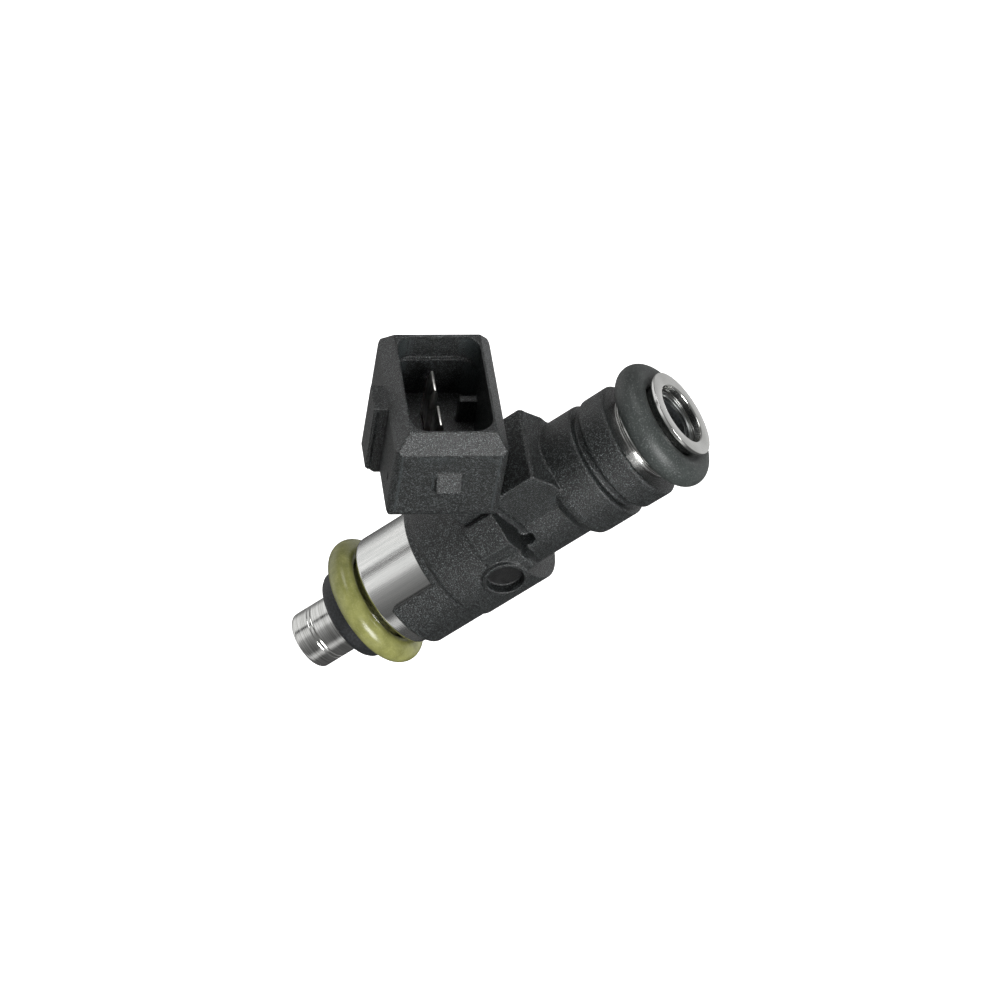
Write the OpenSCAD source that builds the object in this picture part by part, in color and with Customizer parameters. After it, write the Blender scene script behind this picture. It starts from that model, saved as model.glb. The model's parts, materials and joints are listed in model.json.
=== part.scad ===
// Electromagnetic fuel injector with a tilted two-blade socket.
// Z is the injector's axis. z = 0 is the middle of the lower seal ring, +Z points to the
// fuel inlet, and the socket leans towards -Y. All sizes are in millimetres.

/* [Seals] */
// Distance between the middles of the two seal rings
seal_pitch = 38.6; // [36:0.1:50]
// Outside diameter of the upper seal ring
top_ring_d = 14.4; // [13.4:0.05:16]
// Section diameter of the upper seal ring
top_ring_cs = 3.3; // [2.8:0.05:3.5]
// Outside diameter of the lower seal ring
low_ring_d = 14.8; // [14.2:0.05:16.5]
// Section diameter of the lower seal ring
low_ring_cs = 2.8; // [2.4:0.02:3.1]
// Gap between the upper seal ring and the flange above it
flange_gap = 0.5; // [0.3:0.05:1.2]
// Gap between the lower seal ring and the housing above it
housing_gap = 0.65; // [0.4:0.05:1.2]

/* [Nozzle] */
// Distance from the lower seal ring down to the nozzle's end face
nozzle_drop = 9.3; // [9:0.1:14]
// Diameter of the nozzle
nozzle_d = 6.5; // [6.4:0.05:7.2]
// Rounding of the nozzle's end
nozzle_edge = 0.45; // [0.1:0.05:0.5]
// Distance from the end face up to the pair of fine turned grooves
groove_up = 2.2; // [1.5:0.1:3]
// Depth and width of each fine turned groove
fine_groove = 0.17; // [0.1:0.01:0.25]
// Depth of the groove that the retainer snaps into
snap_groove = 0.2; // [0.1:0.02:0.3]
// Diameter of the retainer under the lower seal ring
retainer_d = 10.3; // [9.8:0.1:11]
// Height of that retainer
retainer_h = 2.15; // [1.8:0.05:2.6]

/* [Magnet] */
// Outside diameter of the steel housing
housing_d = 12.78; // [12.6:0.02:13.4]
// Wall of the steel housing
housing_wall = 0.64; // [0.5:0.02:0.8]
// Thickness of the housing's floor
housing_floor = 1; // [0.8:0.05:1.4]
// Rounding of the housing's lower edge
housing_edge = 0.6; // [0.3:0.05:0.8]
// Length of the steel housing
housing_len = 14.35; // [13:0.05:18]
// Outside diameter of the thin-walled fuel tube inside the coil
tube_d = 7.4; // [7:0.05:7.6]
// Bore that the armature slides in
guide_bore_d = 6; // [5.6:0.05:6.1]
// Thickness of the ring that closes the top of the housing
washer_h = 1.35; // [1:0.05:1.6]
// Height of the non-magnetic ring round the working gap
gap_ring_h = 2; // [1.4:0.1:2.6]
// Thickness of the spool's flanges
spool_flange = 0.9; // [0.6:0.05:1.2]
// Wall of the spool's barrel
spool_wall = 0.6; // [0.45:0.05:0.7]

/* [Valve] */
// Diameter of the valve ball
ball_d = 3.5; // [3:0.05:3.8]
// Outside diameter of the needle tube
needle_d = 2.2; // [1.8:0.05:2.4]
// Wall of the needle tube
needle_wall = 0.3; // [0.2:0.05:0.4]
// Travel of the valve between seat and full lift
lift = 0.07; // [0.05:0.01:0.12]
// Gap that stays between armature and pole at full lift
rest_gap = 0.02; // [0.01:0.01:0.05]
// Radial clearance of the armature in its bore
armature_clear = 0.05; // [0.03:0.01:0.08]
// Radial clearance of the ball in its guide
ball_clear = 0.02; // [0.015:0.005:0.03]
// Diameter of the metering holes in the spray plate
spray_hole_d = 0.22; // [0.15:0.01:0.3]
// Number of metering holes
spray_holes = 4; // [2:1:8]
// Wire diameter of the return spring
spring_wire = 0.4; // [0.3:0.02:0.5]
// Active turns of the return spring
spring_turns = 6; // [4:1:8]

/* [Moulding] */
// Diameter of the moulded body round the magnet
body_d = 14.9; // [14.7:0.05:15.6]
// Diameter of the thinner lip at the mouth of the moulding
lip_d = 14.3; // [14.1:0.05:14.6]
// Diameter of the skirt that runs down the back of the housing
skirt_d = 14.5; // [14.3:0.02:14.8]
// Bare height of steel on the socket's side
window_h = 7.45; // [5.5:0.05:8.5]
// Angle of the bare steel window from the socket's middle to its +X edge
window_right = 60; // [45:1:80]
// Angle of the bare steel window from the socket's middle to its -X edge
window_left = 76; // [45:1:80]
// Bare height of steel below the skirt
skirt_up = 2; // [1.5:0.05:2.5]
// Plastic above the housing at the back of the body
roof_h = 2.35; // [2:0.05:3]
// Extra height of the body's front half
front_step = 1.4; // [1:0.05:2]
// Width of the clip slot above the body
slot_w = 1.15; // [1:0.05:1.4]
// Diameter of the upper barrel
barrel_d = 11.16; // [10.8:0.02:12]
// Diameter of the barrel's shoulder
shoulder_d = 13.06; // [12.6:0.02:13.4]
// Length of the shoulder
shoulder_len = 5.4; // [4:0.1:6]
// Width of the clip groove above the shoulder
clip_groove_w = 0.9; // [0.7:0.05:1.2]
// Diameter at the bottom of the clip groove
clip_groove_d = 11.2; // [10.8:0.1:11.8]
// Length of the collar above the clip groove
collar_len = 3.4; // [2.5:0.1:4]
// Gap between that collar and the middle of the upper seal ring
collar_gap = 2.95; // [2.6:0.05:3.4]

/* [Socket] */
// Lean of the socket from the injector's axis
socket_tilt = 45; // [40:1:50]
// Distance from the axis to the middle of the socket's rim
socket_reach = 20.1; // [19.5:0.1:22]
// Height of the rim's middle above the body's front face
socket_rise = 4.7; // [4.4:0.1:5.2]
// Length of the socket, across the injector
socket_l = 16.7; // [16:0.1:18]
// Width of the socket
socket_w = 11.9; // [11.4:0.1:13]
// Height of the socket's block below the rim's bevel
socket_h = 9.55; // [9:0.05:10.5]
// Wall of the socket
socket_wall = 1.6; // [1.2:0.05:1.9]
// Height of the bevel round the rim
rim_h = 2.15; // [1.5:0.05:2.6]
// Flat left on top of the rim
rim_flat = 0.22; // [0.1:0.02:0.4]
// Depth of the socket below the bevel
socket_deep = 6.2; // [5:0.1:6.8]
// Distance between the two blades
blade_pitch = 5; // [4.8:0.05:5.2]
// Width of a blade
blade_w = 2.8; // [2.6:0.05:3]
// Thickness of a blade
blade_t = 0.8; // [0.6:0.05:0.8]
// Distance of the blades from the socket's middle plane
blade_off = 0.65; // [0:0.05:0.8]
// Width of the outer keying rib
key_w = 3.4; // [3:0.1:4]
// Height of the outer keying rib
key_h = 1.45; // [1:0.05:1.8]

/* [Inlet] */
// Outside diameter of the inlet tube's flange
flange_d = 9.8; // [9.6:0.05:10.6]
// Thickness of that flange
flange_t = 0.45; // [0.35:0.05:0.8]
// Bore of the inlet
inlet_bore_d = 6.76; // [6.4:0.02:7]
// Length of the fuel filter
filter_len = 12; // [9:0.1:12.5]
// Distance from the inlet's face down to the filter
filter_down = 0.95; // [0.6:0.05:1.5]

/* [Hidden] */
$fn = 96;
eps = 0.01;
far = 40;

// Seal seats
top_seat_r = top_ring_d / 2 - top_ring_cs;
low_seat_r = low_ring_d / 2 - low_ring_cs;
snap_r = nozzle_d / 2 - snap_groove;

// Levels along the axis, from the nozzle up
tip_z = -nozzle_drop;
housing_z = low_ring_cs / 2 + housing_gap;
housing_top = housing_z + housing_len;
retainer_top = -low_ring_cs / 2 - 0.05;
retainer_z = retainer_top - retainer_h;
snap_top = retainer_z + 0.45;
lip_z = housing_z + window_h;
lip_top = lip_z + 1;
skirt_z = housing_z + skirt_up;
rear_z = housing_top + roof_h;
front_z = rear_z + front_step;
slot_top = front_z + slot_w;
collar_top = seal_pitch - collar_gap;
collar_z = collar_top - collar_len;
shoulder_top = collar_z - clip_groove_w;
shoulder_z = shoulder_top - shoulder_len;
flange_z = seal_pitch + top_ring_cs / 2 + flange_gap;
inlet_z = flange_z + flange_t;

// Magnet and tube
tube_r = tube_d / 2;
guide_r = guide_bore_d / 2;
housing_in_r = housing_d / 2 - housing_wall;
spool_z = housing_z + housing_floor + 0.1;
washer_z = housing_top - washer_h;
spool_top = washer_z - 0.05;
spool_in_r = tube_r + 0.05;
winding_in_r = spool_in_r + spool_wall;
winding_r = housing_in_r - 0.3;
gap_ring_z = housing_z + housing_floor + 4.55;
gap_ring_top = gap_ring_z + gap_ring_h;
pole_z = gap_ring_z + gap_ring_h / 2;
pole_top = pole_z + 11.9;
pole_bore_r = 1.75;
chamber_top = housing_z - 0.05;
armature_z = chamber_top + 0.35;
armature_top = pole_z - lift - rest_gap;
spring_seat_z = armature_top - 1.6;
sleeve_z = pole_z + 6.4;
sleeve_top = sleeve_z + 5;
needle_top = armature_z + 2.2;

// Valve
ball_r = ball_d / 2;
plate_recess = 0.15;
plate_t = 0.25;
seat_z = tip_z + plate_recess + plate_t;
seat_r = nozzle_d / 2 - 0.65;
outlet_r = 0.6;
outlet_len = 0.3;
cone_apex = seat_z + outlet_len - outlet_r;
ball_z = cone_apex + ball_r * sqrt(2) + 0.007;
seat_top = ball_z + 1.5;
chamber_r = seat_r - 0.3;

// Inlet tube and filter
wide_z = rear_z + 3.7;
inlet_bore_r = inlet_bore_d / 2;
tube_collar_r = top_seat_r + 0.86;
collar_ring_top = inlet_z - filter_down;
filter_z = collar_ring_top - filter_len;
mesh_r = inlet_bore_r - 1.08;
frame_r = mesh_r + 0.45;

// Socket
blade_tip = -0.1;
terminal_z = housing_top + 1;
socket_z = front_z + socket_rise;
tower_x = 2.7;
tower_y = [-5.05, -3.85];
tail_x = 1.9;
tail_w = 1;
tail_t = 0.6;
bevel_in = socket_wall - rim_flat;
pad_out = body_d / 2 + 0.55;
pad_in = pad_out - 1.8;
pad_drop = 2.5;
dimple_r = 2;
dimple_rim = 0.45;
dimple_deep = 0.95;

// A tube between two levels
module ring(z0, z1, outer_r, inner_r) {
    translate([0, 0, z0]) difference() {
        cylinder(h = z1 - z0, r = outer_r);
        translate([0, 0, -1]) cylinder(h = z1 - z0 + 2, r = inner_r);
    }
}

// A solid turned from a half profile of [radius, level] points
module turned(points) {
    rotate_extrude() polygon(points);
}

// A rectangle with round corners, centred
module round_rect(l, w, r) {
    square([l - 2 * r, w], center = true);
    square([l, w - 2 * r], center = true);
    for (sx = [-1, 1], sy = [-1, 1])
        translate([sx * (l / 2 - r), sy * (w / 2 - r)]) circle(r);
}

// A profile in the Y-Z plane, given a thickness along X and centred on x
module slab(x, width, points) {
    translate([x - width / 2, 0, 0]) rotate([90, 0, 90])
        linear_extrude(width) polygon(points);
}

// The socket's own frame: x across the injector, y towards the inlet, z out of the socket
module at_socket() {
    translate([0, -socket_reach, socket_z]) rotate([socket_tilt, 0, 0]) children();
}

module nozzle_body() {
    step = (nozzle_d / 2 + low_seat_r) / 2;
    groove_z = tip_z + groove_up;
    color([0.78, 0.79, 0.80]) difference() {
        turned([[0, tip_z], [nozzle_d / 2 - nozzle_edge, tip_z],
            [nozzle_d / 2 - nozzle_edge * 0.3, tip_z + nozzle_edge * 0.3],
            [nozzle_d / 2, tip_z + nozzle_edge],
            [nozzle_d / 2, retainer_z], [snap_r, retainer_z],
            [snap_r, snap_top], [step, snap_top],
            [step, retainer_top], [low_seat_r, retainer_top],
            [low_seat_r, housing_z + housing_floor], [tube_r, housing_z + housing_floor],
            [tube_r, gap_ring_z], [0, gap_ring_z]]);
        translate([0, 0, tip_z - 1]) cylinder(h = seat_top - tip_z + 1, r = seat_r);
        translate([0, 0, tip_z]) cylinder(h = far, r = chamber_r);
        translate([0, 0, chamber_top]) cylinder(h = far, r = guide_r);
        for (i = [0, 1])
            ring(groove_z + i * 0.45, groove_z + i * 0.45 + fine_groove,
                nozzle_d, nozzle_d / 2 - fine_groove);
    }
}

module valve_seat() {
    color([0.70, 0.71, 0.73]) difference() {
        translate([0, 0, seat_z]) cylinder(h = seat_top - seat_z, r = seat_r);
        translate([0, 0, cone_apex])
            cylinder(h = ball_r + ball_clear, r1 = 0, r2 = ball_r + ball_clear);
        translate([0, 0, cone_apex + ball_r + ball_clear])
            cylinder(h = far, r = ball_r + ball_clear);
        translate([0, 0, seat_z - 1]) cylinder(h = outlet_len + 1 + eps, r = outlet_r);
    }
}

module spray_plate() {
    color([0.80, 0.80, 0.82]) difference() {
        translate([0, 0, tip_z + plate_recess]) cylinder(h = plate_t, r = seat_r);
        for (i = [0 : spray_holes - 1])
            rotate(45 + i * 360 / spray_holes) translate([outlet_r / 2, 0, tip_z - 1])
                cylinder(h = 3, d = spray_hole_d);
    }
}

module valve_ball() {
    flat = ball_r * 0.88;
    color([0.82, 0.83, 0.85]) difference() {
        translate([0, 0, ball_z]) sphere(r = ball_r);
        for (i = [0 : 4])
            rotate(i * 72) translate([flat, -ball_r, ball_z - 0.35])
                cube([ball_r, ball_d, ball_d]);
    }
}

module needle_tube() {
    r = needle_d / 2;
    color([0.74, 0.75, 0.76]) difference() {
        ring(ball_z + ball_r * 0.7, needle_top, r, r - needle_wall);
        translate([0, 0, ball_z]) sphere(r = ball_r);
        for (level = [0.35, 0.7], turn = [0, 90])
            translate([0, 0, seat_top + (chamber_top - seat_top) * level])
                rotate([90, 0, turn]) cylinder(h = 10, r = 0.4, center = true);
    }
}

module armature() {
    color([0.55, 0.56, 0.58]) difference() {
        translate([0, 0, armature_z])
            cylinder(h = armature_top - armature_z, r = guide_r - armature_clear);
        translate([0, 0, armature_z - 1]) cylinder(h = far, r = needle_d / 2);
        translate([0, 0, spring_seat_z]) cylinder(h = far, r = pole_bore_r);
    }
}

// Middle line of the spring's wire after t turns, with one closed turn at each end
function spring_level(t, turns, low, high, wire) =
    let (end_rise = wire * 1.06, mid = (high - low - 2 * end_rise) / (turns - 2))
    t < 1 ? low + t * end_rise
    : t > turns - 1 ? high - (turns - t) * end_rise
    : low + end_rise + (t - 1) * mid;

module return_spring() {
    sides = 8;
    steps = 14;
    turns = spring_turns + 2;
    rings = turns * steps;
    wire_r = spring_wire / 2;
    mid_r = pole_bore_r - 0.14 - wire_r;
    low = spring_seat_z + wire_r;
    high = sleeve_z - wire_r;
    points = [for (i = [0 : rings], k = [0 : sides - 1])
        let (t = i / steps, a = t * 360, b = k * 360 / sides,
            r = mid_r + wire_r * cos(b))
        [r * cos(a), r * sin(a),
            spring_level(t, turns, low, high, spring_wire) + wire_r * sin(b)]];
    walls = [for (i = [0 : rings - 1], k = [0 : sides - 1])
        let (n = (k + 1) % sides)
        [i * sides + k, (i + 1) * sides + k, (i + 1) * sides + n, i * sides + n]];
    caps = [[for (k = [0 : sides - 1]) k],
        [for (k = [sides - 1 : -1 : 0]) rings * sides + k]];
    color([0.60, 0.61, 0.63]) polyhedron(points, concat(walls, caps));
}

module adjusting_sleeve() {
    color([0.72, 0.70, 0.62]) difference() {
        ring(sleeve_z, sleeve_top, pole_bore_r, pole_bore_r - 0.55);
        translate([0, -0.2, sleeve_z - 1]) cube([5, 0.4, 8]);
    }
}

module pole_piece() {
    color([0.58, 0.59, 0.61]) ring(pole_z, pole_top, guide_r, pole_bore_r);
}

module non_magnetic_ring() {
    color([0.72, 0.68, 0.55]) ring(gap_ring_z, gap_ring_top, tube_r, guide_r);
}

// Outer profile of the inlet tube, closed on the axis
function tube_outline() = [[0, gap_ring_top], [tube_r, gap_ring_top], [tube_r, wide_z],
    [top_seat_r, wide_z + 1], [top_seat_r, collar_top],
    [tube_collar_r, collar_top], [tube_collar_r, collar_top + 0.42],
    [tube_collar_r - 0.12, collar_top + 0.47], [tube_collar_r - 0.12, collar_top + 0.62],
    [tube_collar_r, collar_top + 0.67], [tube_collar_r, collar_top + 1.05],
    [tube_collar_r - 0.15, collar_top + 1.2], [top_seat_r, collar_top + 1.2],
    [top_seat_r, flange_z],
    [flange_d / 2 - 0.1, flange_z], [flange_d / 2, flange_z + 0.1],
    [flange_d / 2, inlet_z - 0.12], [flange_d / 2 - 0.12, inlet_z], [0, inlet_z]];

module inlet_tube() {
    color([0.80, 0.81, 0.82]) difference() {
        turned(tube_outline());
        translate([0, 0, gap_ring_top - 1]) cylinder(h = far, r = guide_r);
        translate([0, 0, wide_z + 1])
            cylinder(h = 1, r1 = guide_r, r2 = inlet_bore_r);
        translate([0, 0, wide_z + 2]) cylinder(h = far, r = inlet_bore_r);
    }
}

module magnet_housing() {
    r = housing_d / 2;
    color([0.76, 0.77, 0.78]) difference() {
        turned(concat([[0, housing_z]],
            [for (i = [0 : 6]) [r - housing_edge * (1 - sin(i * 15)),
                housing_z + housing_edge * (1 - cos(i * 15))]],
            [[r, housing_top], [0, housing_top]]));
        translate([0, 0, housing_z + housing_floor]) cylinder(h = far, r = housing_in_r);
        translate([0, 0, housing_z - 1]) cylinder(h = far, r = low_seat_r);
    }
}

module flux_washer() {
    color([0.50, 0.51, 0.53]) difference() {
        ring(washer_z, housing_top, housing_in_r, tube_r);
        translate([-tower_x - 0.05, -far, washer_z - 1])
            cube([2 * tower_x + 0.1, far + tower_y[1] + 0.05, washer_h + 2]);
    }
}

// The post on the spool that holds the terminals' tails
module spool_tower() {
    translate([-tower_x, tower_y[0], spool_top - spool_flange])
        cube([2 * tower_x, tower_y[1] - tower_y[0], terminal_z - spool_top + spool_flange]);
}

module coil_spool() {
    color([0.30, 0.26, 0.20]) difference() {
        union() {
            ring(spool_z, spool_top, winding_in_r, spool_in_r);
            ring(spool_z, spool_z + spool_flange, housing_in_r - 0.05, spool_in_r);
            ring(spool_top - spool_flange, spool_top, housing_in_r - 0.05, spool_in_r);
            difference() {
                spool_tower();
                translate([0, 0, spool_z]) cylinder(h = far, r = spool_in_r);
            }
        }
        for (side = [-1, 1]) terminal(side);
    }
}

module coil_winding() {
    color([0.72, 0.38, 0.18])
        ring(spool_z + spool_flange, spool_top - spool_flange, winding_r, winding_in_r);
}

// A point of the socket's middle plane, w towards the inlet and u out of the socket,
// as [y, z] of the injector
function in_socket(w, u) =
    [-socket_reach + w * cos(socket_tilt) - u * sin(socket_tilt),
    socket_z + w * sin(socket_tilt) + u * cos(socket_tilt)];

// Where the line at w in the socket comes down to a level of the injector
function socket_drop(w, level) =
    in_socket(w, (level - socket_z - w * sin(socket_tilt)) / cos(socket_tilt));

// One stamped terminal: blade, shelf over the magnet, and tail into the spool's tower
module terminal(side) {
    low_w = -blade_off - blade_t / 2;
    high_w = -blade_off + blade_t / 2;
    point = 0.12;
    heel = socket_drop(high_w, terminal_z + tail_t);
    shelf_y = heel[0] + 1.2;
    tail_y = tower_y[1] - 0.3;
    slab(side * blade_pitch / 2, blade_w, [socket_drop(low_w, terminal_z),
        in_socket(low_w, blade_tip - 1), in_socket(-blade_off - point, blade_tip),
        in_socket(-blade_off + point, blade_tip), in_socket(high_w, blade_tip - 1),
        heel, [shelf_y, terminal_z + tail_t], [shelf_y, terminal_z]]);
    slab(side * tail_x, tail_w, [[heel[0] + 0.5, terminal_z],
        [heel[0] + 0.5, terminal_z + tail_t], [tail_y, terminal_z + tail_t],
        [tail_y, terminal_z - 1.5], [tail_y - tail_t, terminal_z - 1.5],
        [tail_y - tail_t, terminal_z]]);
}

module terminal_left() {
    color([0.80, 0.79, 0.74]) terminal(-1);
}

module terminal_right() {
    color([0.80, 0.79, 0.74]) terminal(1);
}

// Everything round that the moulding is made of
module moulded_round() {
    r = body_d / 2;
    difference() {
        turned([[0, lip_z], [lip_d / 2, lip_z], [lip_d / 2, lip_top], [r - 0.1, lip_top],
            [r, lip_top + 0.25], [r, front_z - 0.3], [r - 0.3, front_z], [0, front_z]]);
        translate([-far / 2, 0.7, rear_z]) cube([far, far, far]);
    }
    difference() {
        translate([0, 0, skirt_z]) cylinder(h = lip_top - skirt_z, r = skirt_d / 2);
        rotate(-90) linear_extrude(far) polygon([[0, 0],
            [far * cos(window_left), -far * sin(window_left)], [far * 2, -far],
            [far * 2, far], [far * cos(window_right), far * sin(window_right)]]);
    }
    s = shoulder_d / 2;
    turned([[0, lip_z], [barrel_d / 2, lip_z], [barrel_d / 2, shoulder_z],
        [s - 0.5, shoulder_z + 0.45], [s - 0.08, shoulder_z + 0.95],
        [s, shoulder_z + 1.5], [s, shoulder_top - 0.2], [s - 0.2, shoulder_top],
        [clip_groove_d / 2, shoulder_top], [clip_groove_d / 2, collar_z],
        [s - 0.3, collar_z], [s - 0.05, collar_z + 0.3], [s - 0.02, collar_top - 0.25],
        [s - 0.25, collar_top], [0, collar_top]]);
}

// The neck under the socket and the gusset between socket and barrel
module moulded_bridge() {
    gusset_w = 9.8;
    neck_w = 8;
    neck_z = front_z - 3.7;
    gusset_y = -8.35;
    ridge_z = slot_top + 5.55;
    low = in_socket(-2.5, -socket_h);
    high = in_socket(socket_w / 2 - 0.4, -socket_h);
    slab(0, neck_w, [[-3, neck_z], [-body_d / 2 + 0.3, neck_z],
        low, high, [gusset_y, slot_top + 1], [-3, slot_top + 1]]);
    slab(0, gusset_w, [[0, slot_top], [gusset_y, slot_top],
        [gusset_y, ridge_z - 0.3], [gusset_y + 0.3, ridge_z], [gusset_y + 0.8, ridge_z + 0.1],
        [-barrel_d / 2, ridge_z + 0.75], [0, ridge_z + 0.75]]);
}

// Raised pads and clip slots on both sides of the body
module body_pads() {
    for (side = [-1, 1])
        rotate(-90 + side * 48) translate([0, 0, rear_z - pad_drop])
            linear_extrude(front_step + pad_drop) polygon([[pad_in, -1.9], [pad_out, -1.9],
                [pad_out, 1.9], [pad_out - 1.3, 3.2], [pad_in, 3.2]] * [[1, 0], [0, side]]);
}

module clip_slots() {
    root = 3.95;
    end_y = -1.35;
    for (side = [-1, 1])
        translate([side > 0 ? root : -far, end_y, front_z]) {
            translate([0, -far, 0]) cube([far - root, far, slot_w]);
            translate([0, 0, slot_w / 2]) rotate([0, 90, 0])
                cylinder(h = far - root, r = slot_w * 0.7);
        }
}

// A wedge that cuts the rim down to a bevel along one side, at a half width
module rim_wedge(half, side) {
    top = half - bevel_in;
    translate([-far / 2, 0, 0]) rotate([90, 0, 90]) linear_extrude(far)
        polygon([[side * half, 0], [side * top, rim_h], [side * top, far], [side * far, far],
            [side * far, 0]]);
}

// An upright outline with round lower corners, centred on x
module round_foot(width) {
    r = 1.2;
    square([width - 2 * r, 2 * socket_h], center = true);
    translate([-width / 2, r - socket_h]) square([width, far]);
    for (side = [-1, 1])
        translate([side * (width / 2 - r), r - socket_h]) circle(r);
}

// The outer keying rib, with a shallow groove down each flank
module key_rib() {
    difference() {
        translate([-key_w / 2, -socket_w / 2 - key_h, -socket_h])
            cube([key_w, key_h + 1, socket_h]);
        for (side = [-1, 1])
            translate([side * key_w / 2 - 0.15, -socket_w / 2 - key_h * 0.7, -socket_h - 1])
                cube([0.3, key_h * 0.35, socket_h + 0.5]);
        rotate([90, 0, 90]) translate([0, 0, -far / 2]) linear_extrude(far)
            polygon([[-socket_w / 2 - key_h - 1, -socket_h - 1],
                [-socket_w / 2 - key_h - 1, 0.8 - socket_h],
                [-socket_w / 2 - key_h, 0.8 - socket_h],
                [-socket_w / 2 - key_h + 0.8, -socket_h],
                [-socket_w / 2 - key_h + 0.8, -socket_h - 1]]);
    }
}

// The socket's block with its bevelled rim, latch ramps and keying rib
module socket_block() {
    at_socket() {
        difference() {
            intersection() {
                translate([0, 0, -socket_h]) linear_extrude(socket_h + rim_h)
                    round_rect(socket_l, socket_w, 0.9);
                translate([0, far / 2, 0]) rotate([90, 0, 0]) linear_extrude(far)
                    round_foot(socket_l);
                translate([-far / 2, 0, 0]) rotate([90, 0, 90]) linear_extrude(far)
                    round_foot(socket_w);
            }
            for (side = [-1, 1]) {
                rim_wedge(socket_w / 2, side);
                rotate(90) rim_wedge(socket_l / 2, side);
                translate([side * 6.2 - 0.15, -socket_w / 2 - 0.1, -6])
                    cube([0.3, 0.5, 1.2]);
            }
        }
        key_rib();
        for (side = [-1, 1])
            translate([0, 1.35, 0]) rotate([90, 0, 0]) linear_extrude(2.7)
                polygon([[side * (socket_l / 2 - 0.5), -2.5], [side * socket_l / 2, -2.5],
                    [side * (socket_l / 2 + 0.85), -4.8], [side * (socket_l / 2 + 0.85), -5.1],
                    [side * (socket_l / 2 - 0.5), -5.1]]);
    }
}

// The hollow that the plug enters, with its lead-in and two inner keys
module socket_hollow() {
    l = socket_l - 2 * socket_wall;
    w = socket_w - 2 * socket_wall;
    lead = 3.2;
    at_socket() difference() {
        union() {
            translate([0, 0, -socket_deep]) linear_extrude(far)
                round_rect(l - 0.7, w, 1.6);
            translate([0, 0, rim_h - lead]) linear_extrude(far)
                round_rect(l, w, 1.9);
        }
        for (side = [-1, 1])
            translate([side * 2.65 - 0.45, w / 2 - 1.9, -socket_deep - 1])
                cube([0.9, 2, socket_deep - 2]);
    }
}

// The middle of the round dimple on each flank, at a depth from the body's surface
module at_dimple(side, out) {
    translate([side * (body_d / 2 + out), 0, rear_z - 2.3]) rotate([0, side * 90, 0])
        children();
}

module moulded_body() {
    color([0.13, 0.14, 0.15]) difference() {
        union() {
            difference() {
                union() {
                    moulded_round();
                    body_pads();
                }
                clip_slots();
            }
            moulded_bridge();
            socket_block();
            for (side = [-1, 1])
                at_dimple(side, -1) cylinder(h = 1.15, r = dimple_r + dimple_rim);
        }
        socket_hollow();
        translate([0, 0, tip_z]) cylinder(h = housing_top - tip_z, d = housing_d);
        turned(tube_outline());
        spool_tower();
        for (side = [-1, 1]) {
            terminal(side);
            at_dimple(side, -dimple_deep) cylinder(h = 5, r = dimple_r);
        }
    }
}

module upper_seal_ring() {
    color([0.20, 0.20, 0.21]) translate([0, 0, seal_pitch]) rotate_extrude()
        translate([top_ring_d / 2 - top_ring_cs / 2, 0]) circle(d = top_ring_cs);
}

module lower_seal_ring() {
    color([0.66, 0.66, 0.42]) rotate_extrude()
        translate([low_ring_d / 2 - low_ring_cs / 2, 0]) circle(d = low_ring_cs);
}

module seal_retainer() {
    step = (nozzle_d / 2 + low_seat_r) / 2;
    r = retainer_d / 2;
    color([0.22, 0.22, 0.25]) difference() {
        turned([[0, retainer_z], [r - 0.5, retainer_z], [r - 0.12, retainer_z + 0.15],
            [r, retainer_z + 0.5], [r, retainer_top - 0.1], [r - 0.1, retainer_top],
            [0, retainer_top]]);
        translate([0, 0, retainer_z - 1]) cylinder(h = far, r = snap_r);
        translate([0, 0, snap_top]) cylinder(h = far, r = step);
    }
}

module filter_collar() {
    color([0.78, 0.66, 0.38])
        ring(collar_ring_top - 2.2, collar_ring_top, inlet_bore_r, frame_r);
}

module filter_frame() {
    color([0.18, 0.30, 0.42]) {
        ring(collar_ring_top - 2.2, collar_ring_top - 0.4, frame_r, mesh_r);
        ring(filter_z + filter_len / 2 - 0.25, filter_z + filter_len / 2 + 0.25,
            frame_r, mesh_r);
        translate([0, 0, filter_z]) cylinder(h = 0.8, r = frame_r);
        difference() {
            ring(filter_z + 0.8, collar_ring_top - 2.2, frame_r, mesh_r);
            for (i = [0 : 3])
                rotate(45 + i * 90) translate([0, 0, filter_z - 1])
                    linear_extrude(far) polygon([[0, 0], [far, -far * 0.72], [far * 2, 0],
                        [far, far * 0.72]]);
        }
    }
}

module filter_mesh() {
    color([0.82, 0.82, 0.80])
        ring(filter_z + 0.8, collar_ring_top - 2.2, mesh_r, mesh_r - 0.1);
}

nozzle_body();
valve_seat();
spray_plate();
valve_ball();
needle_tube();
armature();
return_spring();
adjusting_sleeve();
pole_piece();
non_magnetic_ring();
inlet_tube();
magnet_housing();
flux_washer();
coil_spool();
coil_winding();
terminal_left();
terminal_right();
moulded_body();
upper_seal_ring();
lower_seal_ring();
seal_retainer();
filter_collar();
filter_frame();
filter_mesh();
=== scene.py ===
import json
import math
import bpy
from mathutils import Matrix, Vector

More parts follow.
